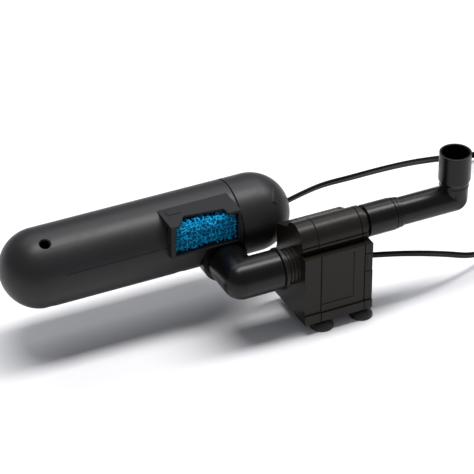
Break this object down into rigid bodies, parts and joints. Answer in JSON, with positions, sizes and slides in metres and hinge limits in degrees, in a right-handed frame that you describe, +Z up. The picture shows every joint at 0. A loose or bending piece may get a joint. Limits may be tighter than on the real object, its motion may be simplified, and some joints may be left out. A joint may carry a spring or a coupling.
{
  "type": "internal power filter",
  "caption": "Submersible aquarium filter: rounded lamp tube with a blue foam intake, joined by an elbow to a magnet-drive pump on suction cups with a swivelling outlet.",
  "frame": {"origin": "on the plane of the suction cup rims, straight below the pump shaft, midway between the cups along X", "axes": "+X along the lamp housing and the pump shaft towards the outlet, +Y to the back, +Z up"},
  "size_m": [0.6749, 0.253, 0.152],
  "materials": {
    "housing_plastic": "satin black moulded ABS",
    "pipe_plastic": "semi-gloss black moulded ABS",
    "pump_plastic": "satin brown-black moulded ABS",
    "inner_plastic": "satin",
    "seal_rubber": "matt",
    "cup_rubber": "satin",
    "quartz": "clear",
    "lamp_glass": "clear",
    "lamp_base_white": "satin",
    "blue_foam": "open cells",
    "steel": "satin",
    "ceramic": "polished",
    "ferrite": "matt",
    "lamination_steel": "satin",
    "copper": "enamelled",
    "cord_pvc": "satin",
    "tie_plastic": "satin",
    "plug_pvc": "satin",
    "plug_brass": "bright"
  },
  "bodies": {
    "root": {"base_plate": "pump_plastic", "cord_clamp": "pump_plastic", "cover_seal": "seal_rubber", "elbow_seal": "seal_rubber", "end_cover": "pump_plastic", "end_screws": "steel", "front_bush": "seal_rubber", "inlet_cover": "pump_plastic", "lamp_base": "lamp_base_white", "lamp_cord": "cord_pvc", "lamp_cord_coil": "cord_pvc", "lamp_cord_tie": "tie_plastic", "lamp_gland": "seal_rubber", "lamp_holder": "inner_plastic", "lamp_plug": "plug_pvc", "lamp_plug_blades": "plug_brass", "lamp_socket": "lamp_base_white", "pump_cord": "cord_pvc", "pump_cord_coil": "cord_pvc", "pump_cord_tie": "tie_plastic", "pump_gland": "seal_rubber", "pump_housing": "pump_plastic", "pump_plug": "plug_pvc", "pump_plug_blades": "plug_brass", "pump_shaft": "ceramic", "quartz_sleeve": "quartz", "rear_bush": "seal_rubber", "sleeve_nut": "inner_plastic", "sleeve_seal": "seal_rubber", "sleeve_support": "seal_rubber", "sponge_grille": "inner_plastic", "stator_coils": "copper", "stator_core": "lamination_steel", "suction_cup_1": "cup_rubber", "suction_cup_2": "cup_rubber", "suction_cup_3": "cup_rubber", "suction_cup_4": "cup_rubber", "suction_elbow": "pipe_plastic", "torpedo_body": "housing_plastic", "uv_lamp": "lamp_glass"},
    "rotor": {"rotor_magnet": "ferrite", "rotor_core": "inner_plastic", "impeller": "inner_plastic"},
    "outlet": {"outlet_union": "pipe_plastic", "outlet_seal": "seal_rubber", "outlet_elbow": "pipe_plastic"},
    "nozzle": {"outlet_cup": "pipe_plastic"},
    "cap": {"end_cap": "housing_plastic", "cap_seal": "seal_rubber"},
    "intake": {"sponge_frame": "housing_plastic", "sponge": "blue_foam"}
  },
  "joints": [
    {"name": "rotor_spin", "type": "hinge", "parent": "root", "child": "rotor", "pos_m": [0, 0, 0.0695], "axis": [1, 0, 0], "continuous": true},
    {"name": "outlet_swivel", "type": "hinge", "parent": "root", "child": "outlet", "pos_m": [0.05, 0, 0.099], "axis": [1, 0, 0], "range_deg": [-90, 90]},
    {"name": "nozzle_turn", "type": "hinge", "parent": "outlet", "child": "nozzle", "pos_m": [0.133, 0, 0.13], "axis": [0, 0, 1], "continuous": true},
    {"name": "cap_twist", "type": "hinge", "parent": "root", "child": "cap", "pos_m": [-0.06, 0.0775, 0.089], "axis": [1, 0, 0], "range_deg": [0, 28]},
    {"name": "sponge_pull", "type": "slide", "parent": "root", "child": "intake", "axis": [0, -1, 0], "range_m": [0, 0.045]}
  ]
}
